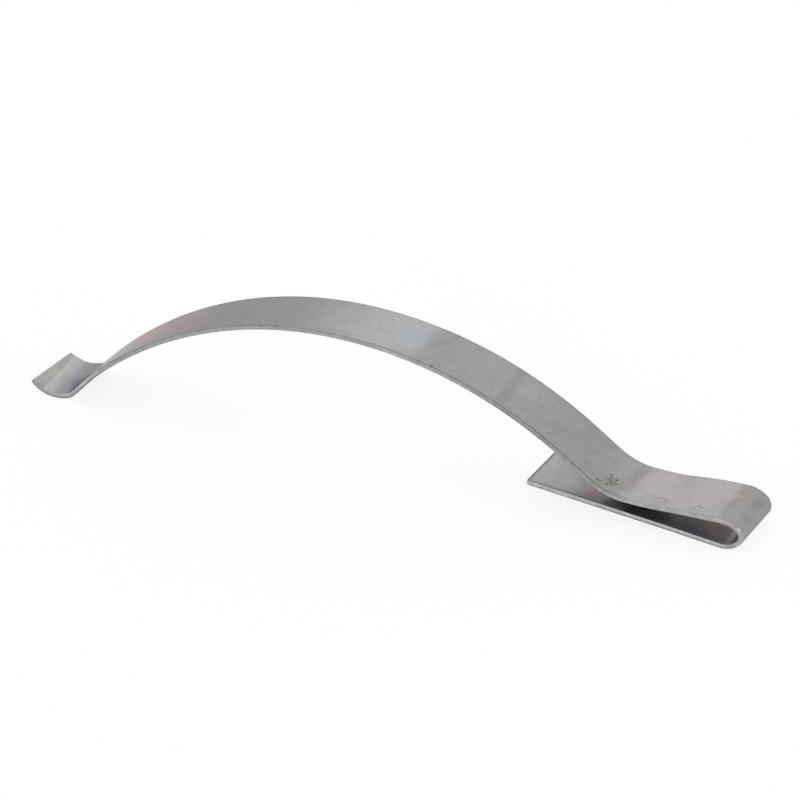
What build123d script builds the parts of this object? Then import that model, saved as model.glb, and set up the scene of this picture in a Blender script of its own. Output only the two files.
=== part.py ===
"""Window spring: one strip of plated spring steel, bent along its length and cut square at both ends.

From left to right the strip is a short upturned curl that slides on the window's frame, a long bowed
arch that gives the push, and a flat leaf that folds back under itself into a clip for the wall of the
window's sash or screen. Sizes are in millimetres. X runs from the curl to the clip, Y across the strip
and Z up. The origin is in the middle of the spring's footprint, on the level where it rests.
"""
from build123d import *
import os
from math import asin, atan2, degrees, hypot

# The strip, before it is bent
STRIP_WIDTH = 9.5
STRIP_THICKNESS = 0.65
EDGE_ROUND = 0.12
TIP_CORNER_RADIUS = 0.2
FOOT_CORNER_RADIUS = 0.35

# Straight runs along the middle of the sheet
CURL_RUN = 0.3
RAMP_RUN = 4.4
FOOT_RUN = 26.7

# Bend radii to the middle of the sheet, from the curl to the clip
CURL_RADIUS = 4.4
CURL_EXIT_RADIUS = 2.25
ARCH_RISE_RADIUS = 53.2
ARCH_FALL_RADIUS = 56.5
VALLEY_RADIUS = 8.6
LEAF_RISE_RADIUS = 50.0
LEAF_CROWN_RADIUS = 120.0
SHOULDER_RADIUS = 4.2
NOSE_RADIUS = 1.28
HEEL_RADIUS = 3.0

# Angles in degrees between the sheet and the level: where it falls, rises or turns back under itself
TIP_ANGLE = 45.0
CURL_EXIT_ANGLE = 26.5
ARCH_START_ANGLE = 46.4
RAMP_ANGLE = 35.0
VALLEY_END_ANGLE = 3.0
LEAF_ANGLE = 3.5
SHOULDER_END_ANGLE = 33.0
HEEL_START_ANGLE = 43.0
FOOT_ANGLE = 5.8
HALF_TURN_ANGLE = 180.0

# Lengths this close are the same length
LENGTH_MATCH = 1e-6


def bend_list():
    """Every bend and run in order: a bend is its radius and the heading it ends at, a run its length."""
    return [
        ("bend", CURL_RADIUS, CURL_EXIT_ANGLE),
        ("bend", CURL_EXIT_RADIUS, ARCH_START_ANGLE),
        ("run", CURL_RUN, None),
        ("bend", ARCH_RISE_RADIUS, 0.0),
        ("bend", ARCH_FALL_RADIUS, -RAMP_ANGLE),
        ("run", RAMP_RUN, None),
        ("bend", VALLEY_RADIUS, -VALLEY_END_ANGLE),
        ("bend", LEAF_RISE_RADIUS, LEAF_ANGLE),
        ("bend", LEAF_CROWN_RADIUS, 0.0),
        ("bend", SHOULDER_RADIUS, -SHOULDER_END_ANGLE),
        ("bend", NOSE_RADIUS, HEEL_START_ANGLE - HALF_TURN_ANGLE),
        ("bend", HEEL_RADIUS, -FOOT_ANGLE - HALF_TURN_ANGLE),
        ("run", FOOT_RUN, None),
    ]


def sheet_line(height):
    """The sheet seen from the front at a height over its middle: tangent arcs and lines from the tip on."""
    heading = -TIP_ANGLE
    point = Vector(0, height).rotate(Axis.Z, heading)
    edges = []
    for form, size, end_heading in bend_list():
        direction = Vector(1, 0).rotate(Axis.Z, heading)
        if form == "run":
            edges.append(Line(point, point + direction * size))
        else:
            turn = end_heading - heading
            radius = size - height if turn > 0 else size + height
            edges.append(JernArc(point, direction, radius, turn))
            heading = end_heading
        point = edges[-1] @ 1
    return edges


def rest_tilt():
    """The turn in degrees that sets the curl's and the clip's round undersides on one level."""
    middle = sheet_line(0)
    curl, heel = middle[0], middle[-2]
    span = heel.arc_center - curl.arc_center
    reach = hypot(span.X, span.Y)
    return degrees(asin((HEEL_RADIUS - CURL_RADIUS) / reach) - atan2(span.Y, span.X))


def side_outline():
    """The spring's outline seen from the front: the sheet's two faces, joined by its square cut ends."""
    top = sheet_line(STRIP_THICKNESS / 2)
    underside = sheet_line(-STRIP_THICKNESS / 2)
    tip = Line(top[0] @ 0, underside[0] @ 0)
    foot_end = Line(top[-1] @ 1, underside[-1] @ 1)
    return make_face([*top, *underside, tip, foot_end])


def corner_edges(strip):
    """The edges that run through the sheet's thickness, the curl's tip first and the foot's end last."""
    corners = strip.edges().filter_by(lambda edge: abs(edge.length - STRIP_THICKNESS) < LENGTH_MATCH)
    return corners.sort_by(Axis.X)


def eased_strip(strip):
    """The strip with its end corners rounded in plan, then the rim of both faces eased all the way round."""
    strip = fillet(corner_edges(strip)[:2], TIP_CORNER_RADIUS)
    strip = fillet(corner_edges(strip)[-2:], FOOT_CORNER_RADIUS)
    sides = strip.faces().filter_by(Axis.Y)
    rims = [edge for side in sides for edge in side.edges() if abs(edge.length - STRIP_THICKNESS) > LENGTH_MATCH]
    return fillet(rims, EDGE_ROUND)


def window_spring():
    """The whole spring: one bent strip, set down on the level where it rests."""
    outline = Rot(0, 0, rest_tilt()) * side_outline()
    strip = eased_strip(extrude(Plane.XZ * outline, STRIP_WIDTH / 2, both=True))
    box = strip.bounding_box()
    rest = Pos(-box.center().X, 0, -box.min.Z)
    return rest * strip


os.makedirs("parts", exist_ok=True)
spring = window_spring()
spring.label = "spring"
export_step(spring, "parts/spring.step")
size = spring.bounding_box().size
print(f"spring {size.X:.2f} x {size.Y:.2f} x {size.Z:.2f} mm, volume {spring.volume:.1f} mm3")
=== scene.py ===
"""Looks of the window spring: one bent strip of plated steel, on a pale lit table in soft studio light.

The strip is swept along the same bends as the solid it stands for, with the rolled-over and broken
edges of slit strip, and dressed in thin clear-passivated plating, whose colours also carry painted
reflections, highlights and shade. Lengths are in metres and angles in degrees. Distances along and
across the strip, which the finishes use, are in millimetres.
"""

import logging
from dataclasses import dataclass
from enum import Enum
from math import asin, atan2, ceil, copysign, cos, exp, hypot, pi, radians, sin, sqrt

import bpy
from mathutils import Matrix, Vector

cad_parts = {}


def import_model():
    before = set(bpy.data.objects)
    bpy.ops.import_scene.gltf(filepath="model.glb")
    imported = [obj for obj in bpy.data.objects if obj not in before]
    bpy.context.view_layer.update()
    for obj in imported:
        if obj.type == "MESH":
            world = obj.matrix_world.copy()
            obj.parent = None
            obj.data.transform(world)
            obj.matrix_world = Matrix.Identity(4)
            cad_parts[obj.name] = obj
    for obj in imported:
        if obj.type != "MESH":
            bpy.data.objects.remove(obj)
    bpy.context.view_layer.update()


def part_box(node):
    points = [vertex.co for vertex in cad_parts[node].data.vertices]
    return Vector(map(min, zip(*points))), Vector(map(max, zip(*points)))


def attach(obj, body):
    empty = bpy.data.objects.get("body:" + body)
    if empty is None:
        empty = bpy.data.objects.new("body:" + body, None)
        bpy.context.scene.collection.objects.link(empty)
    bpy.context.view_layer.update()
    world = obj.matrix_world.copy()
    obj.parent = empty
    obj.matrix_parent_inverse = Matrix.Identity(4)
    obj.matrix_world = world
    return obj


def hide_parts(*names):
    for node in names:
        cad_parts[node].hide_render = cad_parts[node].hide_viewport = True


LOG = logging.getLogger("window_spring")

MM = 0.001
NODE = "spring"
BODY = "root"

Node = bpy.types.Node
Socket = bpy.types.NodeSocket
Tree = bpy.types.NodeTree
Colour = tuple[float, float, float]
Zone = tuple[Socket, Socket, Socket | None]
Span = tuple[float, float]
Points = list[Span]


class Form(Enum):
    """What one stretch of the strip does."""

    BEND = "bend"
    RUN = "run"


class SheetSide(Enum):
    """The two broad faces of the strip, by the sign of their height over the middle of the sheet."""

    OUTER = 1.0
    INNER = -1.0


class Skin(Enum):
    """The material slots of the strip's mesh."""

    SHEET = 0
    CUT_EDGE = 1


# The bent line of the strip


@dataclass(frozen=True)
class StripSizes:
    """The spring's driving sizes, the same as the solid's."""

    width: float = 9.5 * MM
    thickness: float = 0.65 * MM
    tip_corner: float = 0.2 * MM
    foot_corner: float = 0.35 * MM
    end_rim: float = 0.12 * MM
    curl_run: float = 0.3 * MM
    ramp_run: float = 4.4 * MM
    foot_run: float = 26.7 * MM
    curl_radius: float = 4.4 * MM
    curl_exit_radius: float = 2.25 * MM
    arch_rise_radius: float = 53.2 * MM
    arch_fall_radius: float = 56.5 * MM
    valley_radius: float = 8.6 * MM
    leaf_rise_radius: float = 50.0 * MM
    leaf_crown_radius: float = 120.0 * MM
    shoulder_radius: float = 4.2 * MM
    nose_radius: float = 1.28 * MM
    heel_radius: float = 3.0 * MM
    tip_angle: float = 45.0
    curl_exit_angle: float = 26.5
    arch_start_angle: float = 46.4
    ramp_angle: float = 35.0
    valley_end_angle: float = 3.0
    leaf_angle: float = 3.5
    shoulder_end_angle: float = 33.0
    heel_start_angle: float = 43.0
    foot_angle: float = 5.8
    half_turn: float = 180.0

    def bends(self) -> list[tuple[Form, float, float]]:
        """Every bend and run in order from the tip of the curl.

        Returns:
            The form of each, its radius or length, and for a bend the heading that it ends at.
        """
        return [
            (Form.BEND, self.curl_radius, self.curl_exit_angle),
            (Form.BEND, self.curl_exit_radius, self.arch_start_angle),
            (Form.RUN, self.curl_run, 0.0),
            (Form.BEND, self.arch_rise_radius, 0.0),
            (Form.BEND, self.arch_fall_radius, -self.ramp_angle),
            (Form.RUN, self.ramp_run, 0.0),
            (Form.BEND, self.valley_radius, -self.valley_end_angle),
            (Form.BEND, self.leaf_rise_radius, self.leaf_angle),
            (Form.BEND, self.leaf_crown_radius, 0.0),
            (Form.BEND, self.shoulder_radius, -self.shoulder_end_angle),
            (Form.BEND, self.nose_radius, self.heel_start_angle - self.half_turn),
            (Form.BEND, self.heel_radius, -self.foot_angle - self.half_turn),
            (Form.RUN, self.foot_run, 0.0),
        ]


@dataclass(frozen=True)
class Stretch:
    """One bend or run, with where it starts along the strip and in the side view."""

    start: float
    length: float
    origin: Vector
    heading: float
    curvature: float

    def at(self, distance: float) -> tuple[Vector, float]:
        """The middle line at a distance along the strip.

        Args:
            distance: Distance from the tip, within this stretch.

        Returns:
            The point as (x, z) and the heading in radians.
        """
        gone = distance - self.start
        if self.curvature == 0.0:
            return self.origin + gone * Vector((cos(self.heading), sin(self.heading))), self.heading
        turned = self.heading + self.curvature * gone
        step = Vector((sin(turned) - sin(self.heading), cos(self.heading) - cos(turned)))
        return self.origin + step / self.curvature, turned


class MiddleLine:
    """The middle of the sheet in the side view, as tangent arcs and lines from the tip on."""

    def __init__(self, sizes: StripSizes) -> None:
        """Lays the line, then turns it so that the curl and the heel rest on one level.

        Args:
            sizes: The spring's driving sizes.
        """
        self.sizes = sizes
        self.stretches = self._lay(self._rest_tilt())
        self.length = self.stretches[-1].start + self.stretches[-1].length

    def _lay(self, tilt: float) -> list[Stretch]:
        """Chains the stretches.

        Args:
            tilt: Turn of the whole line in radians.

        Returns:
            The stretches in order.
        """
        heading = radians(-self.sizes.tip_angle) + tilt
        origin, start, laid = Vector((0.0, 0.0)), 0.0, []
        for form, size, end_angle in self.sizes.bends():
            if form is Form.RUN:
                stretch = Stretch(start, size, origin, heading, 0.0)
            else:
                turn = radians(end_angle) + tilt - heading
                stretch = Stretch(start, abs(turn) * size, origin, heading, copysign(1.0 / size, turn))
            laid.append(stretch)
            start += stretch.length
            origin, heading = stretch.at(start)
        return laid

    def _rest_tilt(self) -> float:
        """The turn that sets the round undersides of the curl and the heel on one level.

        Returns:
            The turn in radians.
        """
        level, centres = self._lay(0.0), []
        for stretch in (level[0], level[-2]):
            side = Vector((-sin(stretch.heading), cos(stretch.heading)))
            centres.append(stretch.origin + side / stretch.curvature)
        span = centres[1] - centres[0]
        lift = self.sizes.heel_radius - self.sizes.curl_radius
        return asin(lift / span.length) - atan2(span.y, span.x)

    def at(self, distance: float) -> tuple[Vector, float]:
        """The middle line's point as (x, z), and its heading in radians, at any distance from the tip."""
        here = next((s for s in self.stretches if distance <= s.start + s.length), self.stretches[-1])
        return here.at(min(distance, self.length))

    def distances(self, step: float, turn_step: float) -> list[float]:
        """Distances for the sweep's rings: closer together where the bend is tight.

        Args:
            step: Longest step along the strip.
            turn_step: Most turn in one step, in radians.

        Returns:
            Distances from the tip to the foot's end.
        """
        found = [0.0]
        for stretch in self.stretches:
            by_turn = stretch.length * abs(stretch.curvature) / turn_step
            count = max(1, ceil(max(stretch.length / step, by_turn)))
            found += [stretch.start + stretch.length * (i + 1) / count for i in range(count)]
        return found


# The strip's mesh


def new_object(name: str, data: bpy.types.ID) -> bpy.types.Object:
    """Puts a mesh or a camera in the scene.

    Args:
        name: The object's name.
        data: The mesh or camera.

    Returns:
        The object.
    """
    made = bpy.data.objects.new(name, data)
    bpy.context.scene.collection.objects.link(made)
    return made


def ease(value: float, low: float, high: float) -> float:
    """A smooth step from zero at low to one at high."""
    share = min(1.0, max(0.0, (value - low) / (high - low)))
    return share * share * (3.0 - 2.0 * share)


def rounding(gap: float, radius: float) -> float:
    """How far a rounded corner lies inside its sharp form, at a gap from the end."""
    return radius - sqrt(max(0.0, radius**2 - max(0.0, radius - gap) ** 2))


@dataclass(frozen=True)
class Twist:
    """A stretch of the strip with one edge a little higher or lower, in millimetres."""

    start: float
    full: float
    easing: float
    end: float
    near: float
    far: float

    def lift(self, along: float, share: float) -> float:
        """How far a point is lifted, by its distance along and its share of the way from the near edge to the far."""
        stretch = ease(along, self.start, self.full) * (1.0 - ease(along, self.easing, self.end))
        return stretch * (self.near + (self.far - self.near) * share)


@dataclass(frozen=True)
class Dent:
    """A small dent in a broad face, in millimetres along and across the strip."""

    along: float
    across: float
    reach: float
    depth: float


@dataclass
class SpringStrip:
    """The whole spring as one swept strip, with rolled-over top edges and sharper broken lower ones."""

    sizes: StripSizes = StripSizes()
    rolled_edge: float = 0.12 * MM
    broken_edge: float = 0.06 * MM
    edge_crown: float = 0.012 * MM
    step: float = 0.3 * MM
    turn_step: float = radians(2.4)
    face_columns: int = 26
    corner_steps: int = 5
    side_steps: int = 4
    end_steps: int = 5
    support: float = 0.05 * MM
    least_step: float = 0.002 * MM
    sharp_angle: float = radians(38.0)
    dent_rings: int = 5
    dent_fade: float = 2.5
    dents: tuple[Dent, ...] = (
        Dent(97.6, -2.6, 0.30, 0.010),
        Dent(98.4, -2.9, 0.26, 0.009),
        Dent(102.8, -2.8, 0.26, 0.010),
        Dent(103.4, -3.1, 0.24, 0.010),
    )
    twists: tuple[Twist, ...] = (
        Twist(-0.5, 2.0, 4.8, 6.6, 0.0, 0.25),
        Twist(3.3, 7.4, 7.4, 11.4, -0.25, 0.0),
        Twist(87.5, 91.0, 93.0, 97.5, 0.0, 0.055),
        Twist(88.5, 92.5, 97.5, 104.0, 0.12, 0.0),
        Twist(97.0, 104.0, 107.2, 110.8, 0.0, 0.25),
        Twist(114.5, 122.0, 141.0, 142.0, 0.075, 0.06),
    )
    tip_longer: Span = (0.32 * MM, -0.08 * MM)
    tip_skew_reach: float = 2.5
    name: str = "spring_strip"

    def _broad_row(self, half: float, corner: float) -> list[float]:
        """Places across a broad face, from near to far, with a support column beside each eased edge."""
        edge, inner, count = half - corner, half - corner - self.support, self.face_columns
        return [-edge, *(-inner + 2.0 * inner * i / count for i in range(count + 1)), edge]

    def _corner(self, middle: Span, radius: float, start: float) -> Points:
        """Points clockwise round one edge, without its ends; the first angle is in degrees."""
        angles = [radians(start - 90.0 * i / self.corner_steps) for i in range(1, self.corner_steps)]
        return [(middle[0] + radius * cos(a), middle[1] + radius * sin(a)) for a in angles]

    def _side(self, half: float, top: float, bottom: float) -> Points:
        """Points down the cut side from the height top to the height bottom, slightly crowned."""
        shares = [i / self.side_steps for i in range(self.side_steps + 1)]
        return [(half - self.edge_crown * (1.0 - sin(pi * s)), top + (bottom - top) * s) for s in shares]

    def _section(self, half: float, thin: float) -> tuple[Points, list[Skin]]:
        """The strip's section, clockwise from the near end of the outer face.

        Args:
            half: Half the width here.
            thin: Half the thickness here.

        Returns:
            The points as (across, height), and the skin of the face after each point.
        """
        roll, burr = self.rolled_edge, self.broken_edge
        outer = [(a, thin) for a in self._broad_row(half, roll)]
        inner = [(a, -thin) for a in reversed(self._broad_row(half, burr))]
        far = (
            self._corner((half - roll, thin - roll), roll, 90.0)
            + self._side(half, thin - roll, burr - thin)
            + self._corner((half - burr, burr - thin), burr, 0.0)
        )
        near = [(-a, h) for a, h in reversed(far)]
        skins = []
        for points, skin in ((outer, Skin.SHEET), (far, Skin.CUT_EDGE), (inner, Skin.SHEET), (near, Skin.CUT_EDGE)):
            skins += [skin] * len(points)
        skins[len(outer) + len(far) - 1] = Skin.SHEET
        return outer + far + inner + near, skins

    def _rings(self, line: MiddleLine) -> list[tuple[float, float, float]]:
        """Where the rings stand, and how the strip narrows and thins at its two ends.

        Args:
            line: The middle line.

        Returns:
            Distance, half width and half thickness of each ring.
        """
        half, thin = self.sizes.width / 2, self.sizes.thickness / 2
        tip, foot, rim = self.sizes.tip_corner, self.sizes.foot_corner, self.sizes.end_rim
        turns = [pi / 2 * i / self.end_steps for i in range(self.end_steps + 1)]
        fine = [size * (1.0 - cos(turn)) for size in (tip, rim) for turn in turns]
        fine += [line.length - size * (1.0 - cos(turn)) for size in (foot, rim) for turn in turns]
        plain = [d for d in line.distances(self.step, self.turn_step) if tip < d < line.length - foot]
        shares = [i / (self.dent_rings - 1) for i in range(-self.dent_rings, self.dent_rings + 1)]
        plain += [(dent.along + dent.reach * share) * MM for dent in self.dents for share in shares]
        rings, last = [], -1.0
        for distance in sorted(fine + plain):
            if distance - last < self.least_step:
                continue
            gap, corner = min((distance, tip), (line.length - distance, foot))
            rings.append((distance, half - rounding(gap, corner), thin - rounding(gap, rim)))
            last = distance
        return rings

    def _dent_depth(self, along: float, across: float) -> float:
        """How deep the dents are at a place on the outer face."""
        near = [(hypot(along / MM - d.along, across / MM - d.across) / d.reach, d.depth) for d in self.dents]
        return sum(depth * MM * exp(-apart * apart) for apart, depth in near if apart < self.dent_fade)

    def _place(self, line: MiddleLine, distance: float, across: float, height: float, bent: bool) -> Vector:
        """One point of the strip.

        Args:
            line: The middle line.
            distance: Distance along the strip.
            across: Place across the strip.
            height: Height over the middle of the sheet.
            bent: Whether the skewed tip and the twists count.

        Returns:
            The point.
        """
        lift = 0.0
        if bent:
            share = 0.5 + across / self.sizes.width
            near, far = self.tip_longer
            lift = MM * sum(twist.lift(distance / MM, share) for twist in self.twists)
            distance -= (near + (far - near) * share) * (1.0 - ease(distance / MM, 0.0, self.tip_skew_reach))
        place, heading = line.at(distance)
        return Vector((place.x - height * sin(heading), across, place.y + lift + height * cos(heading)))

    def build(self) -> bpy.types.Object:
        """Sweeps the section along the middle line and sets the result on the solid's own box.

        Returns:
            The strip as an object, with its distances along and across kept on its points.
        """
        line, depth = MiddleLine(self.sizes), self.sizes.thickness / 2
        skins = self._section(self.sizes.width / 2, depth)[1]
        spots = [(d, a, h) for d, half, thin in self._rings(line) for a, h in self._section(half, thin)[0]]
        plain = [self._place(line, d, a, h, bent=False) for d, a, h in spots]
        dented = [h - self._dent_depth(d, a) if h > 0.0 else h for d, a, h in spots]
        points = [self._place(line, d, a, h, bent=True) for (d, a, _), h in zip(spots, dented)]
        marks = {
            "along": [d / MM for d, _, _ in spots],
            "across": [a / MM for _, a, _ in spots],
            "sheet_side": [(SheetSide.OUTER if h > 0.0 else SheetSide.INNER).value for _, _, h in spots],
            "depth": [(depth - h) / MM for _, _, h in spots],
        }
        faces, face_skins = self._faces(len(points) // len(skins), skins)
        self._set_down(points, plain)
        mesh = bpy.data.meshes.new(self.name)
        mesh.from_pydata(points, [], faces)
        for label, values in marks.items():
            mesh.attributes.new(label, "FLOAT", "POINT").data.foreach_set("value", values)
        mesh.polygons.foreach_set("material_index", [skin.value for skin in face_skins])
        mesh.polygons.foreach_set("use_smooth", [True] * len(faces))
        mesh.update()
        mesh.set_sharp_from_angle(angle=self.sharp_angle)
        strip = new_object(self.name, mesh)
        LOG.info("%s: %d points, %d faces", self.name, len(points), len(faces))
        return strip

    def _faces(self, count: int, skins: list[Skin]) -> tuple[list[list[int]], list[Skin]]:
        """The faces between the rings, and the two cut ends.

        Args:
            count: How many rings there are.
            skins: The skin after each point of a ring.

        Returns:
            The faces as point numbers, and the skin of each.
        """
        size, wide = len(skins), self.face_columns + 3
        faces = []
        for first in range(0, (count - 1) * size, size):
            for i in range(size):
                j = (i + 1) % size
                faces.append([first + i, first + size + i, first + size + j, first + j])
        face_skins = skins * (count - 1)
        turned = size // 2 - wide
        for start, flip in ((0, False), ((count - 1) * size, True)):
            top = [start + i for i in range(wide)]
            far = [start + wide - 1 + i for i in range(turned + 2)]
            bottom = [start + wide + turned + i for i in range(wide)][::-1]
            near = [start + (2 * wide + turned - 1 + i) % size for i in range(turned + 2)]
            caps = [[top[i], top[i + 1], bottom[i + 1], bottom[i]] for i in range(wide - 1)] + [far, near]
            for cap in caps:
                faces.append(cap[::-1] if flip else cap)
                face_skins.append(Skin.CUT_EDGE)
        return faces, face_skins

    def _set_down(self, points: list[Vector], plain: list[Vector]) -> None:
        """Moves the points so that the plain strip is centred on the solid's box and rests on its lowest level.

        Args:
            points: The strip's points, moved in place.
            plain: The same points without skew and twist.
        """
        low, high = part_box(NODE)
        lengthwise = [p.x for p in plain]
        move = Vector((low.x + high.x - min(lengthwise) - max(lengthwise), low.y + high.y, 0.0)) / 2
        move.z = low.z - min(p.z for p in plain)
        for point in points:
            point += move


# Node tools

LINE_STRETCH = 0.07
LAYER_GAP = 37.0
NOISE_MIDDLE = 0.5


class Sketch:
    """Adds and links nodes in one tree."""

    def __init__(self, tree: Tree) -> None:
        """Keeps the tree."""
        self.tree = tree

    def add(self, kind: str, **settings: object) -> Node:
        """Adds a node.

        Args:
            kind: The node's type name.
            settings: Properties to set on it.

        Returns:
            The node.
        """
        node = self.tree.nodes.new(kind)
        for key, value in settings.items():
            setattr(node, key, value)
        return node

    def feed(self, socket: Socket, value: object) -> None:
        """Links an output to a socket, or sets a plain value on it.

        Args:
            socket: The input socket.
            value: An output socket, a number or a colour.
        """
        if isinstance(value, Socket):
            self.tree.links.new(value, socket)
        elif isinstance(value, tuple) and socket.type == "RGBA":
            socket.default_value = (*value, 1.0)
        else:
            socket.default_value = value

    def fill(self, node: Node, **values: object) -> Node:
        """Feeds a node's inputs by name.

        Args:
            node: The node.
            values: What goes into each input, with _ for a space in its name.

        Returns:
            The node.
        """
        for key, value in values.items():
            self.feed(node.inputs[key.replace("_", " ")], value)
        return node

    def wired(self, kind: str, values: tuple[object, ...], **settings: object) -> Socket:
        """Adds a node and feeds its first inputs in order.

        Args:
            kind: The node's type name.
            values: What goes into each input.
            settings: Properties to set on the node.

        Returns:
            Its first output.
        """
        node = self.add(kind, **settings)
        for socket, value in zip(node.inputs, values):
            self.feed(socket, value)
        return node.outputs[0]

    def math(self, operation: str, *values: object) -> Socket:
        """The result of a math node."""
        return self.wired("ShaderNodeMath", values, operation=operation)

    def times(self, first: object, second: object) -> Socket:
        """The product of two values."""
        return self.math("MULTIPLY", first, second)

    def total(self, base: object, *parts: tuple[object, object]) -> Socket:
        """A base value with shares of other values added.

        Args:
            base: The base value.
            parts: Each other value with its share.

        Returns:
            The sum.
        """
        for value, share in parts:
            base = self.math("MULTIPLY_ADD", value, share, base)
        return base

    def span(self, value: object, low: object, high: float, out_low: object, out_high: object) -> Socket:
        """A value mapped smoothly, from low and high to out_low and out_high."""
        ends = (value, low, high, out_low, out_high)
        return self.wired("ShaderNodeMapRange", ends, interpolation_type="SMOOTHSTEP")

    def place(self, x: object, y: object, z: object) -> Socket:
        """A vector from three values."""
        return self.wired("ShaderNodeCombineXYZ", (x, y, z))

    def split(self, vector: Socket) -> tuple[Socket, ...]:
        """The three values of a vector."""
        return tuple(self.wired("ShaderNodeSeparateXYZ", (vector,)).node.outputs)

    def noise(self, where: object, scale: object, detail: float, roughness: float = 0.5) -> Socket:
        """A noise value from 0 to 1."""
        node = self.add("ShaderNodeTexNoise")
        return self.fill(node, Vector=where, Scale=scale, Detail=detail, Roughness=roughness).outputs[0]

    def tinted(self, share: object, colour: object, tint: object) -> Socket:
        """Multiplies a tint into a colour.

        Args:
            share: How much of the tint.
            colour: The colour to start from.
            tint: The tint.

        Returns:
            The tinted colour.
        """
        node = self.add("ShaderNodeMix", data_type="RGBA", blend_type="MULTIPLY")
        for index, value in ((0, share), (6, colour), (7, tint)):
            self.feed(node.inputs[index], value)
        return node.outputs[2]


def new_group(name: str, inputs: tuple[str, ...], outputs: tuple[str, ...]) -> tuple[Sketch, Node, Node]:
    """Starts a shader node group whose sockets are all plain values.

    Args:
        name: The group's name.
        inputs: Names of its inputs.
        outputs: Names of its outputs.

    Returns:
        A sketch of its tree, its input node and its output node.
    """
    tree = bpy.data.node_groups.new(name, "ShaderNodeTree")
    for labels, way in ((inputs, "INPUT"), (outputs, "OUTPUT")):
        for label in labels:
            tree.interface.new_socket(label, in_out=way, socket_type="NodeSocketFloat")
    sketch = Sketch(tree)
    return sketch, sketch.add("NodeGroupInput"), sketch.add("NodeGroupOutput")


def new_material(name: str) -> tuple[bpy.types.Material, Sketch]:
    """Starts a material.

    Args:
        name: The material's name.

    Returns:
        The material and a sketch of its tree.
    """
    material = bpy.data.materials.new(name)
    material.use_nodes = True
    return material, Sketch(material.node_tree)


class SheetEffects:
    """The node groups that the strip's two materials share."""

    def __init__(self) -> None:
        """Builds each group once."""
        self.grain = self._rolled_grain()
        self.tint_and_light_patch = self._tint_and_light_patch()

    def _rolled_grain(self) -> Tree:
        """Rolling lines, clouds, mottling, fine speckle and a slow drift of hue, each around zero.

        Returns:
            The group's tree.
        """
        sketch, given, made = new_group(
            "rolled_grain",
            ("Along", "Across", "Side", "Line Density", "Cloud Size"),
            ("Lines", "Clouds", "Mottle", "Speckle", "Hue"),
        )
        along, across, side, density, cloud = given.outputs[:5]
        layer = sketch.times(side, LAYER_GAP)
        where = sketch.place(along, across, layer)
        drawn = sketch.place(sketch.times(along, LINE_STRETCH), sketch.times(across, density), layer)
        spread = sketch.place(sketch.math("DIVIDE", along, cloud), sketch.math("DIVIDE", across, cloud), layer)
        noises = (
            sketch.noise(drawn, 1.0, 3.0, 0.6),
            sketch.noise(spread, 1.0, 3.0, 0.55),
            sketch.noise(where, 1.15, 1.0),
            sketch.noise(where, 3.2, 2.0, 0.7),
            sketch.noise(sketch.place(across, along, layer), 0.33, 2.0, 0.6),
        )
        for socket, noise in zip(made.inputs, noises):
            sketch.feed(socket, sketch.math("SUBTRACT", noise, NOISE_MIDDLE))
        return sketch.tree

    def _tint_and_light_patch(self) -> Tree:
        """A soft-edged patch at a place on the strip, with a wandering outline.

        Returns:
            The group's tree.
        """
        place = ("Along", "Across", "Centre Along", "Centre Across")
        form = ("Reach Along", "Reach Across", "Slant", "Wander", "Wave", "Core")
        sketch, given, made = new_group("tint_and_painted_light_patch", place + form, ("Mask",))
        along, across, at_along, at_across, reach_along, reach_across, slant, wander, wave, core = given.outputs[:10]
        up = sketch.math("SUBTRACT", across, at_across)
        right = sketch.math("SUBTRACT", sketch.math("SUBTRACT", along, at_along), sketch.times(up, slant))
        flat = sketch.math("DIVIDE", right, reach_along)
        tall = sketch.math("DIVIDE", up, reach_across)
        apart = sketch.math("SQRT", sketch.total(sketch.times(tall, tall), (flat, flat)))
        noise = sketch.noise(sketch.place(along, across, 0.0), wave, 2.0)
        pushed = sketch.total(apart, (sketch.math("SUBTRACT", noise, NOISE_MIDDLE), wander))
        sketch.feed(made.inputs["Mask"], sketch.span(pushed, core, 1.0, 1.0, 0.0))
        return sketch.tree


# Finishes

PIT_TINT = (0.22, 0.22, 0.2)
EDGE_MIDDLE = 0.3
WHOLE_EDGE = 3.0


@dataclass(frozen=True)
class TintAndLightPatch:
    """A tinted patch on the strip: a plating colour, a pit, a thicker film, or a painted reflection, highlight or
    shade. It holds its place and reach in millimetres, its tint and how ragged it is.
    """

    along: float
    across: float
    reach_along: float
    reach_across: float
    tint: Colour
    wander: float = 0.8
    core: float = 0.15
    slant: float = 0.0
    strength: float = 1.0
    wave: float = 0.55

    def shape(self) -> tuple[float, ...]:
        """The values that the bloom group takes after the point's own place, in order."""
        reach = (self.reach_along, self.reach_across)
        return (self.along, self.across, *reach, self.slant, self.wander, self.wave, self.core)


def patches(*rows: tuple) -> tuple[TintAndLightPatch, ...]:
    """A patch for each row, which gives its values in the order of Bloom's fields."""
    return tuple(TintAndLightPatch(*row) for row in rows)


def grey(tone: float) -> Colour:
    """A colour of one tone."""
    return (tone, tone, tone)


def pit(along: float, across: float, reach_along: float, reach_across: float, dark: float, slant: float = 0) -> TintAndLightPatch:
    """A tiny dark ragged pit or nick in the plating."""
    return TintAndLightPatch(along, across, reach_along, reach_across, PIT_TINT, 0.9, 0.1, slant, dark, wave=2.6)


def film(along: float, across: float, reach_along: float, reach_across: float, thick: float, slant: float = 0) -> TintAndLightPatch:
    """A patch where the clear passivation film is thicker, without a tint of its own."""
    return TintAndLightPatch(along, across, reach_along, reach_across, grey(1.0), 0.6, 0.0, slant, thick)


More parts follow.
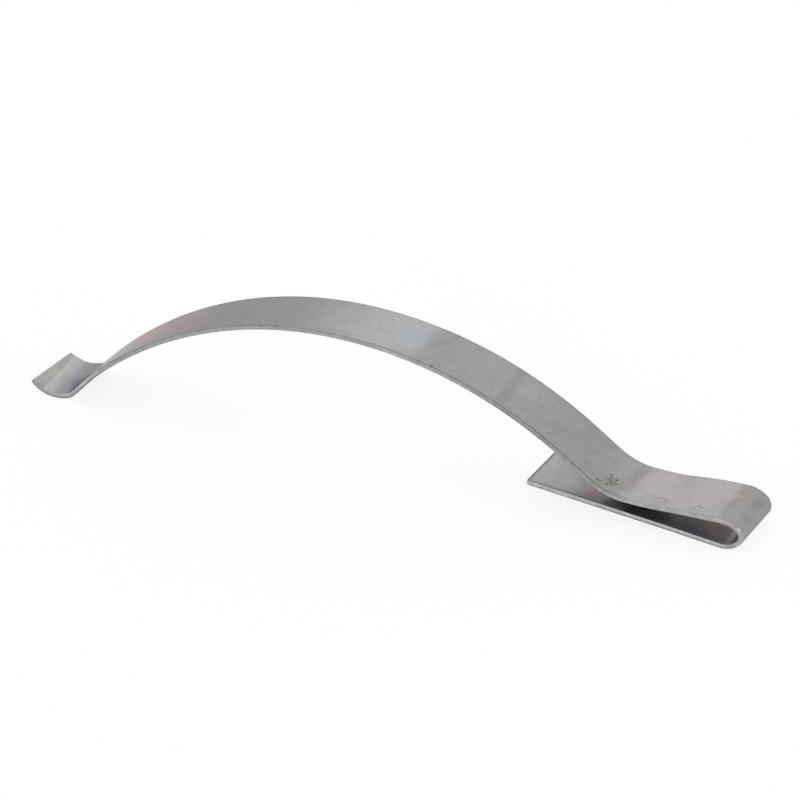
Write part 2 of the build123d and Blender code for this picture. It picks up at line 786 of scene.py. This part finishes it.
def painted_light_band(along: float, reach: float, tint: Colour, core: float) -> TintAndLightPatch:
    """A band of painted reflection over the whole height of the cut edge, lightening or darkening it."""
    return TintAndLightPatch(along, EDGE_MIDDLE, reach, WHOLE_EDGE, tint, core=core)


def painted_glint_and_nick(along: float, depth: float, reach_along: float, reach_down: float, tint: Colour) -> TintAndLightPatch:
    """A small spot in the cut edge: a bright one is a painted glint, a dark one is a nick."""
    return TintAndLightPatch(along, depth, reach_along, reach_down, tint, 0.3, 0.0)


class Surface(Sketch):
    """The tree of one of the strip's metal materials."""

    def __init__(self, name: str, effects: SheetEffects) -> None:
        """Starts the material.

        Args:
            name: The material's name.
            effects: The shared node groups.
        """
        self.material, sketch = new_material(name)
        super().__init__(sketch.tree)
        self.effects = effects

    def read(self, *labels: str) -> tuple[Socket, ...]:
        """The values kept under these names on the strip's points."""
        return tuple(self.add("ShaderNodeAttribute", attribute_name=label).outputs["Fac"] for label in labels)

    def grain(self, *values: object) -> list[Socket]:
        """The grain group's lines, clouds, mottling, speckle and hue, from its inputs in order."""
        return list(self.wired("ShaderNodeGroup", values, node_tree=self.effects.grain).node.outputs)

    def masks(self, tint_and_light_patches: tuple[TintAndLightPatch, ...], zone: Zone) -> list[Socket]:
        """Where each patch lies: one inside it and zero outside it.

        Args:
            tint_and_light_patches: The patches.
            zone: The distance along the strip, the place across it or down its edge, and a value of
                one on the faces that the patches belong to, or None for all faces.

        Returns:
            A mask for each patch.
        """
        *place, own = zone
        found = []
        for tint_and_light_patch in tint_and_light_patches:
            mask = self.wired("ShaderNodeGroup", (*place, *tint_and_light_patch.shape()), node_tree=self.effects.tint_and_light_patch)
            mask = self.times(mask, tint_and_light_patch.strength)
            found.append(mask if own is None else self.times(mask, own))
        return found

    def tinted_by_patches(self, colour: Socket, tint_and_light_patches: tuple[TintAndLightPatch, ...], zone: Zone) -> Socket:
        """Tints a colour with each patch in turn.

        Args:
            colour: The colour to start from.
            tint_and_light_patches: The patches.
            zone: Where they lie, as for masks.

        Returns:
            The tinted colour.
        """
        for tint_and_light_patch, mask in zip(tint_and_light_patches, self.masks(tint_and_light_patches, zone)):
            colour = self.tinted(mask, colour, tint_and_light_patch.tint)
        return colour

    def strongest(self, tint_and_light_patches: tuple[TintAndLightPatch, ...], zone: Zone) -> Socket:
        """The strongest of the patches at each point.

        Args:
            tint_and_light_patches: The patches.
            zone: Where they lie, as for masks.

        Returns:
            Its strength.
        """
        first, *others = self.masks(tint_and_light_patches, zone)
        for mask in others:
            first = self.math("MAXIMUM", first, mask)
        return first

    def raised(self, height: Socket, distance: float) -> Socket:
        """The normal bumped by a height, of which one stands up by the distance."""
        return self.fill(self.add("ShaderNodeBump"), Distance=distance, Height=height).outputs[0]

    def finish(self, **values: object) -> bpy.types.Material:
        """The material, once the named sockets of its metal shader are fed."""
        self.fill(self.tree.nodes["Principled BSDF"], Metallic=1.0, **values)
        return self.material


@dataclass(frozen=True)
class PlatedSheet:
    """Satin zinc plating on rolled strip, with the faint colours of its clear passivation, and patches of painted
    reflection, highlight and shade.
    """

    name: str = "plated_sheet"
    metal: Colour = (0.5, 0.498, 0.498)
    graze: Colour = grey(0.8)
    film_tint: Colour = (1.0, 0.866, 0.9)
    film_ior: float = 1.06
    film_roughness: float = 0.13
    line_density: float = 5.0
    cloud_size: float = 4.5
    grain_shares: tuple[float, ...] = (0.08, 0.16, 0.18, 0.42)
    hue_share: float = 0.065
    cool_share: float = -0.0325
    # Painted shade: dark lines along the foot's inner rims and at its end, and along the outer face's far rim.
    rim_painted_shade: float = 0.66
    end_painted_shade: float = 0.5
    far_rim_painted_shade: float = 0.93
    roughness: float = 0.13
    roughness_inner: float = 0.06
    roughness_clouds: float = 0.05
    roughness_speckle: float = 0.06
    roughness_pits: float = 0.4
    relief: float = 0.0012 * MM
    relief_speckle: float = 0.6
    relief_pits: float = -2.0
    near_rims: Span = (4.2, 4.45)
    far_rim: Span = (4.15, 4.6)
    foot_rims: Span = (127.0, 131.0)
    foot_end: Span = (139.85, 140.2)
    # Partly painted light: these patches mix the passivation's faint colours with painted reflections, painted
    # highlights and painted shade on the outer face.
    tint_and_light_patches: tuple[TintAndLightPatch, ...] = patches(
        # Curl
        (0.3, 0, 1.7, 9, (1.27, 1.27, 1.25), 0.3, 0.4), (0.8, -1.5, 1.3, 2.8, (1.16, 1.1, 1.03)),
        (1, 2.6, 1, 3, (0.86, 0.865, 0.875), 0.5, 0.2), (2.2, 1.8, 1.2, 2.2, (0.955, 1, 1.045)),
        (2.6, -0.6, 1.1, 2, (0.83, 0.85, 0.885)), (3.4, -0.9, 1, 1.6, (0.97, 1.02, 0.97)),
        (4.3, 0, 2.1, 7, (0.97, 0.975, 1), 0.4, 0.3), (5.35, -1.8, 1.6, 3.3, (0.6, 0.64, 0.93), 0.5, 0.15, -0.12),
        (6, 0.3, 1.2, 1.8, (0.8, 0.78, 0.91)), (4.7, 3.9, 1.2, 1.1, (1.02, 0.94, 1.06), 0.8, 0.15, 0, 0.9),
        # Arch
        (12, 0.5, 5, 8, (1.13, 1.09, 0.98), 0.8, 0.2, -1), (15, 3.9, 2, 1.7, (1, 0.95, 0.94)),
        (16.4, 1.2, 2.9, 7, (1.2, 1.06, 1.13), 0.5, 0, -0.9), (18.9, 2, 1.7, 3, (1.36, 1.12, 0.61), 0.5, 0, -0.8),
        (20.2, 0.2, 1.4, 1.4, (1.12, 1.02, 0.9), 0.8, 0.15, -0.6), (16.5, -4, 3.6, 1.3, (0.85, 0.84, 0.82), 0.5),
        (21.8, 0, 3.4, 8, (1.08, 0.93, 1.02), 0.8, 0, -0.8), (26, 0, 6.5, 9, (1.05, 0.92, 1)),
        (27.8, 3.7, 3, 1.8, (0.87, 0.97, 0.97)), (28.6, -2.6, 2.2, 2.4, (1.1, 0.98, 0.96)),
        (32, 1, 2.2, 1.6, (1.01, 1, 0.93)), (36.6, -1.6, 4.6, 2, (1.04, 0.97, 0.99)),
        (38.2, 2.4, 2.4, 1.6, (1.05, 0.975, 0.99)), (50, 0, 23, 12, (0.985, 0.985, 1.025), 0.2, 0.8),
        (50, -4, 3.6, 1.3, (0.91, 0.9, 0.9)), (58.6, 0.4, 3.6, 2, (0.93, 1.01, 1.045)),
        (58.3, -3.9, 2.8, 1.5, (0.9, 0.89, 0.88)), (62.3, 1.4, 1.6, 1.3, (0.93, 0.99, 0.97)),
        (68.3, 0, 5, 9, (1.05, 1.045, 1.04), 0.2, 0.7), (68.6, -1.5, 2.6, 2.2, (1, 0.995, 0.94)),
        (72.85, 0, 1.15, 12, (0.885, 0.88, 0.89), 0.15, 0.1, -0.11), (74.8, 2.2, 2.6, 3.8, grey(1.055), 0.4, 0.3),
        (76.5, -3.6, 3, 1.8, (1.01, 1, 1.02)),
        # Ramp and valley
        (82.4, 0, 9.6, 12, (1.02, 1.012, 0.982), 0.2, 0.85), (89, 3.6, 1.9, 1.9, grey(1.07)),
        (90.6, -2, 2.3, 2.3, (0.91, 0.9, 0.875), 0.8, 0.15, -0.35, 0.9),
        (90.5, -2.3, 1, 1.2, (0.9, 0.87, 0.84), 0.8, 0.15, -0.3, 1, 1.4), (89.6, -2.9, 0.7, 1, (0.9, 0.9, 0.88)),
        (90.2, -3.5, 0.6, 0.6, (0.76, 0.75, 0.71), 0.8, 0.15, 0, 1, 1.4),
        (89.3, -3.9, 0.9, 0.6, (0.86, 0.97, 0.86), 0.8, 0.15, 0, 0.9), (90.4, -4.1, 1.3, 0.9, (0.91, 0.91, 0.9)),
        (91, 2.2, 1.2, 3.6, (1.055, 1.025, 1.075), 0.4, 0.3), (92.5, 1.4, 0.9, 4, (0.94, 0.94, 0.93), 0.5, 0.2, 0.15),
        (92.8, -3.9, 0.9, 1.2, (1.15, 1.13, 1.13), 0.5),
        # Leaf
        (94.2, 2.6, 1.2, 4.4, grey(1.055), 0.2, 0.4), (99.3, 1.4, 9.6, 5.4, (1.03, 0.96, 0.967), 0.5, 0.6),
        (95.6, -3, 2.6, 2.4, (0.91, 0.92, 0.915), 0.5),
        (98, -3.8, 1.4, 1.1, (0.86, 0.86, 0.88), 0.9, 0.15, 0, 1, 1.4),
        (103, -3.8, 2.4, 0.9, (0.9, 0.91, 0.92), 0.9, 0.15, 0, 1, 1.4),
        (99.5, -2.6, 6.5, 1.4, (0.97, 0.955, 1), 0.9, 0.2), (99.5, -4.3, 7.5, 0.9, (0.96, 0.975, 0.95), 0.9, 0.2),
        (101.6, 3.2, 3, 2.2, grey(1.03), 0.5, 0.3),
        # Shoulder
        (104.9, 4, 1.4, 1.7, (1.09, 1.08, 1.07)), (105.4, 2.6, 0.8, 3.8, (1.085, 1.08, 1.075), 0.2, 0.3),
        (106.15, -1.6, 0.7, 2.8, (0.93, 0.92, 0.92), 0.3, 0.4), (106.8, 1.2, 1.3, 4.6, (1.02, 0.995, 0.93), 0.5, 0.2),
        (108.7, 1.6, 0.8, 3.2, (0.93, 0.88, 0.84), 0.9), (108.6, -1.9, 1.2, 1.4, (0.95, 0.92, 0.89), 0.9),
    )
    # Painted shade in the hollow under the leaf, on the foot's inner face, with painted highlights and painted coloured
    # reflections.
    foot_painted_shade_and_reflections: tuple[TintAndLightPatch, ...] = patches(
        (113.6, 0, 8.5, 30, (0.66, 0.63, 0.625), 0.2, 0.5), (111.2, -2.8, 1.65, 4.5, (0.2, 0.11, 0.12), 0.2, 0.6),
        (113.1, -2.8, 0.32, 2.2, (1.48, 1.14, 1.17), 0.15, 0.2, 0.1), (115.6, -1.2, 2.6, 2, (1, 0.82, 0.72), 0.3),
        (117.4, -3.7, 4.2, 1.9, (0.97, 1.01, 1.17), 0.3), (119.5, -4.35, 8, 0.75, (1.4, 1.4, 1.42), 0.2, 0.3),
        (118.9, -1.2, 3, 1.2, grey(0.78), 0.3), (122.4, -2.9, 2.6, 2.2, (0.62, 0.62, 0.61), 0.2, 0.2),
        (126.2, -2.4, 4, 1.6, (0.33, 0.33, 0.34), 0.3, 0.3), (128.9, -3.6, 1.9, 1.4, (0.5, 0.5, 0.53), 0.3),
        (128, 0, 2, 9, (0.66, 0.65, 0.68), 0.4), (131.9, -3.2, 2.1, 1.8, (1.09, 0.85, 1), 0.5),
        (133.4, -0.2, 2.4, 3.4, (0.79, 0.79, 0.78), 0.3, 0.3), (136, 0, 3.6, 9, (0.89, 0.88, 0.91), 0.5, 0.4),
        (139.3, -2.6, 1.7, 2.8, (0.94, 0.93, 0.92), 0.4),
    )
    pits: tuple[TintAndLightPatch, ...] = tuple(pit(*row) for row in (
        (88.85, -3.72, 0.52, 0.28, 0.85, 0.6), (89.25, -3.5, 0.28, 0.22, 0.5), (89.8, -1.15, 0.24, 0.36, 0.75, 0.5),
        (90.02, -1.75, 0.26, 0.52, 0.65, 0.4), (90.25, -2.35, 0.52, 0.36, 0.55, -0.4),
        (90.78, -1.55, 0.34, 0.28, 0.9, -0.5), (90.55, -2.75, 0.26, 0.52, 0.6, -0.4),
        (90.22, -3.15, 0.32, 0.24, 0.6), (91.05, -2.45, 0.56, 0.28, 0.5, 0.5), (90.95, -3.2, 0.24, 0.36, 0.5),
        (89.7, -2.3, 0.52, 0.32, 0.3), (91.7, -1.55, 0.28, 0.24, 0.45), (91.6, -2.15, 0.52, 0.32, 0.25),
        (97.65, -2.6, 0.42, 0.26, 0.45, 0.5), (98.35, -2.85, 0.3, 0.24, 0.4), (97.1, -3, 0.26, 0.32, 0.3),
        (102.8, -2.75, 0.28, 0.38, 0.55, 0.4), (103.4, -3.1, 0.24, 0.38, 0.5, 0.4), (102.5, -3.4, 0.26, 0.22, 0.3),
        (63.35, -4.45, 0.32, 0.3, 0.6), (57.3, -4.6, 0.32, 0.22, 0.4), (79.9, 0.4, 0.28, 0.22, 0.25),
        (80.4, -0.2, 0.24, 0.28, 0.25),
    ))
    foot_pits: tuple[TintAndLightPatch, ...] = (pit(139.75, -3.9, 0.24, 0.24, 0.4),)
    films: tuple[TintAndLightPatch, ...] = (
        film(15, 3.9, 2, 1.7, 0.8),
        film(16.6, 1.2, 3, 7.5, 1, -0.9),
        film(19.4, 1.4, 2.4, 5, 0.9, -0.8),
        film(23.4, 0, 4.6, 8.5, 0.42, -0.5),
    )

    def make(self, effects: SheetEffects) -> bpy.types.Material:
        """Builds the material.

        Args:
            effects: The shared node groups.

        Returns:
            The finish for the broad faces.
        """
        tree = Surface(self.name, effects)
        along, across, side = tree.read("along", "across", "sheet_side")
        outer, inner = tree.math("GREATER_THAN", side, 0.0), tree.math("LESS_THAN", side, 0.0)
        top, foot = (along, across, outer), (along, across, inner)
        grain = tree.grain(along, across, side, self.line_density, self.cloud_size)
        lines, clouds, _, speckle, hue = grain
        shade = tree.total(1.0, *zip(grain, self.grain_shares))
        # Painted shade: darken the inner face along its rims towards the foot's end and at the end itself, and the
        # outer face along its far rim.
        dim = tree.span(along, *self.foot_rims, 0.0, 1.0 - self.rim_painted_shade)
        rim = tree.span(tree.math("ABSOLUTE", across), *self.near_rims, 0.0, dim)
        end = tree.span(along, *self.foot_end, 0.0, 1.0 - self.end_painted_shade)
        far = tree.span(across, *self.far_rim, 0.0, 1.0 - self.far_rim_painted_shade)
        for dimmed, own in ((tree.math("MAXIMUM", rim, end), inner), (far, outer)):
            shade = tree.times(shade, tree.total(1.0, (dimmed, tree.times(own, -1.0))))
        warm, cool = tree.total(shade, (hue, self.hue_share)), tree.total(shade, (hue, self.cool_share))
        colour = tree.tinted(1.0, self.metal, tree.place(warm, cool, shade))
        # Tint the outer face with its patches, and paint shade, highlights and reflections onto the foot's inner face.
        colour = tree.tinted_by_patches(tree.tinted_by_patches(colour, self.tint_and_light_patches, top), self.foot_painted_shade_and_reflections, foot)
        dark = tree.math("MAXIMUM", tree.strongest(self.pits, top), tree.strongest(self.foot_pits, foot))
        rough = tree.total(
            self.roughness,
            (clouds, self.roughness_clouds),
            (speckle, self.roughness_speckle),
            (inner, self.roughness_inner),
            (dark, self.roughness_pits),
        )
        relief = tree.total(lines, (speckle, self.relief_speckle), (dark, self.relief_pits))
        return tree.finish(
            Base_Color=tree.tinted(dark, colour, PIT_TINT),
            Specular_Tint=self.graze,
            Coat_Weight=tree.strongest(self.films, top),
            Coat_Tint=self.film_tint,
            Coat_IOR=self.film_ior,
            Coat_Roughness=self.film_roughness,
            Roughness=rough,
            Normal=tree.raised(relief, self.relief),
        )


@dataclass(frozen=True)
class CutEdge:
    """The slit edges and square-cut ends: rolled over beside the outer face, burnished below it, then torn, with
    painted reflections, highlights and shade along and down them.
    """

    name: str = "plated_cut_edge"
    metal: Colour = (0.56, 0.558, 0.556)
    line_density: float = 2.4
    cloud_size: float = 1.6
    grain_shares: tuple[float, ...] = (0.3, 0.34, 0.34, 0.5)
    # Painted shade: the rolled zone is darkened, and the far edge's rolled zone more so; the torn zone is a little
    # darker.
    roll_painted_shade: float = 0.76
    roll_depth: Span = (0.09, 0.216)
    torn_depth: Span = (0.39, 0.546)
    torn_tone: float = 0.97
    far_rim_painted_shade: float = 0.6
    wander: float = 0.19
    roughness: float = 0.3
    roughness_roll: float = 0.16
    roughness_speckle: float = 0.12
    relief: float = 0.004 * MM
    # Painted reflections and painted shade in bands along the rolled zone, and below, along the torn zone.
    rolled_painted_light: tuple[TintAndLightPatch, ...] = (
        painted_light_band(4, 9, grey(1.43), 0.6),
        painted_light_band(53, 13, grey(1.12), 0.6),
        painted_light_band(82, 11, (0.95, 0.94, 0.92), 0.8),
        painted_light_band(103, 11, (1.3, 1.29, 1.27), 0.8),
        painted_light_band(125, 12.5, (0.52, 0.52, 0.53), 0.9),
        painted_light_band(139, 3.6, (0.74, 0.74, 0.75), 0.5),
    )
    torn_painted_light: tuple[TintAndLightPatch, ...] = (
        painted_light_band(5.5, 7, (0.46, 0.46, 0.47), 0.7),
        painted_light_band(128, 16, (1.12, 1.12, 1.13), 0.85),
    )
    # Painted reflections and shade over the whole edge: bands and streaks, painted glints, and a few dark nicks.
    tint_and_light_patches: tuple[TintAndLightPatch, ...] = (
        painted_light_band(6.5, 5.5, (1.11, 1.1, 1.13), 0.5), painted_light_band(9.8, 3.2, grey(1.07), 0.4),
        painted_light_band(17, 4, (0.94, 0.935, 0.94), 0.5), painted_light_band(80, 12.5, (0.93, 0.925, 0.91), 0.8),
        painted_light_band(102, 11, (1.1, 1.1, 1.11), 0.8), painted_light_band(128, 18, (1.24, 1.245, 1.26), 0.85),
        *patches(
            (106.6, 0.1, 2.2, 0.35, (1.1, 1.085, 1.02), 0.8, 0.3),
            (122, 0.14, 13.5, 0.18, (0.76, 0.76, 0.77), 0.3, 0.4),
            (75.5, 0.52, 7.5, 0.3, (0.8, 0.79, 0.78), 0.5, 0.4),
            (75.5, 0.16, 7.5, 0.16, (1.14, 1.14, 1.13), 0.4, 0.3),
            (57.4, 0.38, 2.6, 0.26, (1.28, 1.28, 1.27), 0.4, 0.2),
        ),
        # Bright flecks are painted glints; the darker ones are nicks.
        *(painted_glint_and_nick(*row) for row in (
            (2, 0.06, 0.36, 0.14, grey(1.75)), (57.6, 0.3, 0.32, 0.18, grey(0.72)),
            (58.3, 0.28, 0.3, 0.16, grey(1.28)), (63.4, 0.08, 0.28, 0.18, (0.6, 0.6, 0.58)),
            (71.2, 0.5, 0.26, 0.15, (1.55, 1.55, 1.53)), (95.8, 0.48, 0.24, 0.13, grey(1.7)),
            (96.5, 0.44, 0.3, 0.1, grey(1.35)), (109, 0.14, 0.36, 0.28, (1.5, 1.46, 1.5)),
            (119, 0.46, 0.26, 0.13, (1.55, 1.55, 1.58)), (117, 0.32, 0.24, 0.12, (1.3, 1.3, 1.32)),
            (136, 0.38, 0.3, 0.16, grey(1.32)),
        )),
    )

    def make(self, effects: SheetEffects) -> bpy.types.Material:
        """Builds the material.

        Args:
            effects: The shared node groups.

        Returns:
            The finish for the cut edges.
        """
        tree = Surface(self.name, effects)
        along, across, depth = tree.read("along", "across", "depth")
        down = tree.math("ADD", across, depth)
        grain = tree.grain(down, along, 0.0, self.line_density, self.cloud_size)
        clouds, speckle = grain[1], grain[3]
        shade = tree.total(1.0, *zip(grain, self.grain_shares))
        level = tree.total(depth, (clouds, self.wander))
        rolled = tree.span(level, *self.roll_depth, 1.0, 0.0)
        torn = tree.span(level, *self.torn_depth, 0.0, 1.0)
        far = tree.times(rolled, tree.math("GREATER_THAN", across, 0.0))
        # Painted shade on the rolled zone and the far rolled zone; the torn zone is a little darker.
        for mask, tone in ((rolled, self.roll_painted_shade), (torn, self.torn_tone), (far, self.far_rim_painted_shade)):
            shade = tree.times(shade, tree.total(1.0, (mask, tone - 1.0)))
        colour = tree.tinted(1.0, self.metal, tree.place(shade, shade, shade))
        # Paint the reflection and shade bands onto the rolled zone, the torn zone and the whole edge.
        for tint_and_light_patches, own in ((self.rolled_painted_light, rolled), (self.torn_painted_light, torn), (self.tint_and_light_patches, None)):
            colour = tree.tinted_by_patches(colour, tint_and_light_patches, (along, depth, own))
        rough = tree.total(
            self.roughness, (speckle, self.roughness_speckle), (rolled, self.roughness_roll - self.roughness)
        )
        return tree.finish(Base_Color=colour, Roughness=rough, Normal=tree.raised(speckle, self.relief))


# The studio


@dataclass(frozen=True)
class Panel:
    """A soft studio panel over the table, dimmer towards its left."""

    name: str = "soft_panel"
    outline: tuple[Span, ...] = ((-0.42, 0.7), (-0.1221, 0.7), (-0.0197, 0.06), (-0.42, 0.06))
    height: float = 0.144
    faded: float = 0.6
    bright: float = 0.9
    fade: Span = (-0.235, -0.045)
    hidden_from: tuple[str, ...] = ("camera", "diffuse", "shadow", "transmission", "volume_scatter")

    def build(self) -> None:
        """Builds the panel so that only reflections show it."""
        mesh = bpy.data.meshes.new(self.name)
        mesh.from_pydata([Vector((x, y, self.height)) for x, y in self.outline], [], [[0, 1, 2, 3]])
        panel = new_object(self.name, mesh)
        for ray in self.hidden_from:
            setattr(panel, f"visible_{ray}", False)
        material, sketch = new_material(self.name)
        sketch.tree.nodes.clear()
        right = sketch.split(sketch.add("ShaderNodeTexCoord").outputs["Object"])[0]
        glow = sketch.add("ShaderNodeEmission")
        sketch.fill(glow, Strength=sketch.span(right, *self.fade, self.faded, self.bright))
        sketch.fill(sketch.add("ShaderNodeOutputMaterial"), Surface=glow.outputs[0])
        mesh.materials.append(material)


@dataclass
class Studio:
    """The lit table, the light round it and the camera."""

    table_radii: tuple[float, ...] = (0.12, 0.4, 1.2, 4.0)
    table_steps: int = 96
    table_glow: float = 0.44
    table_seen_glow: float = 0.37
    table_white: Colour = grey(0.36)
    table_roughness: float = 0.9
    paper_scale: float = 900.0
    paper_tone: float = 0.985
    low_light: float = 0.665
    high_light: float = 0.45
    high_edge: Span = (0.62, 0.8)
    left_share: float = 0.86
    left_edge: Span = (-0.62, -0.4)
    right_share: float = 0.915
    right_edge: Span = (0.12, 0.26)
    backdrop: float = 0.95
    lens: float = 225.0
    sensor: float = 36.0
    seen_depth: Span = (0.01, 20.0)
    azimuth: float = 25.9
    elevation: float = 27.01
    distance: float = 641.4 * MM
    target: tuple[float, float, float] = (0.985 * MM, 0.0, 8.18 * MM)
    panel: Panel = Panel()

    def table(self) -> None:
        """Builds the pale table: a disc of rings, lit softly from below."""
        radii, steps = self.table_radii, self.table_steps
        turns = [2.0 * pi * i / steps for i in range(steps)]
        points = [Vector((0.0, 0.0, 0.0))]
        points += [Vector((radius * cos(t), radius * sin(t), 0.0)) for radius in radii for t in turns]
        faces = []
        for i in range(steps):
            j = (i + 1) % steps
            faces.append([0, 1 + i, 1 + j])
            for a in range(1, 1 + (len(radii) - 1) * steps, steps):
                faces.append([a + i, a + steps + i, a + steps + j, a + j])
        mesh = bpy.data.meshes.new("table")
        mesh.from_pydata(points, [], faces)
        table = new_object("table", mesh)
        material, sketch = new_material("pale_table")
        where = sketch.add("ShaderNodeTexCoord").outputs["Object"]
        paper = sketch.span(sketch.noise(where, self.paper_scale, 3.0), 0.3, 0.7, self.paper_tone, 1.0)
        seen = sketch.add("ShaderNodeLightPath").outputs["Is Camera Ray"]
        sketch.fill(
            sketch.tree.nodes["Principled BSDF"],
            Base_Color=sketch.tinted(1.0, self.table_white, sketch.place(paper, paper, paper)),
            Roughness=self.table_roughness,
            Specular_IOR_Level=0.0,
            Emission_Color=grey(1.0),
            Emission_Strength=sketch.total(self.table_glow, (seen, self.table_seen_glow)),
        )
        mesh.materials.append(material)

    def light(self) -> None:
        """Sets soft light all round, dimmer overhead, at the left and at the right."""
        world = bpy.data.worlds.new("studio_light")
        world.use_nodes = True
        bpy.context.scene.world = world
        sketch = Sketch(world.node_tree)
        sketch.tree.nodes.clear()
        right, _, up = sketch.split(sketch.add("ShaderNodeTexCoord").outputs["Generated"])
        level = sketch.span(up, *self.high_edge, self.low_light, self.high_light)
        level = sketch.times(level, sketch.span(right, *self.left_edge, self.left_share, 1.0))
        level = sketch.times(level, sketch.span(right, *self.right_edge, 1.0, self.right_share))
        seen = sketch.add("ShaderNodeLightPath").outputs["Is Camera Ray"]
        lit = [sketch.wired("ShaderNodeBackground", (grey(1.0), strength)) for strength in (level, self.backdrop)]
        mixed = sketch.wired("ShaderNodeMixShader", (seen, *lit))
        sketch.fill(sketch.add("ShaderNodeOutputWorld"), Surface=mixed)

    def camera(self) -> None:
        """Sets the camera at the photograph's viewing angle."""
        data = bpy.data.cameras.new("camera")
        data.lens, data.sensor_width = self.lens, self.sensor
        data.clip_start, data.clip_end = self.seen_depth
        camera = new_object("camera", data)
        a, e = radians(self.azimuth), radians(self.elevation)
        back = Vector((sin(a) * cos(e), -cos(a) * cos(e), sin(e)))
        camera.location = Vector(self.target) + back * self.distance
        camera.rotation_mode = "QUATERNION"
        camera.rotation_quaternion = (-back).to_track_quat("-Z", "Y")
        bpy.context.scene.camera = camera

    def build(self) -> None:
        """Sets up the camera, the table, the light and the panel."""
        self.camera()
        self.table()
        self.light()
        self.panel.build()
        bpy.context.scene.view_settings.view_transform = "Standard"
        LOG.info("studio: camera, table, light and panel")


def main() -> None:
    """Builds the studio and the strip in order, and reports each piece."""
    logging.basicConfig(level=logging.INFO, format="%(name)s: %(message)s")
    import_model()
    Studio().build()
    strip = SpringStrip().build()
    effects = SheetEffects()
    for finish in (PlatedSheet(), CutEdge()):
        strip.data.materials.append(finish.make(effects))
    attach(strip, BODY)
    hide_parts(NODE)
    LOG.info("%s rides on %s and stands for %s", strip.name, BODY, NODE)


if __name__ == "__main__":
    main()
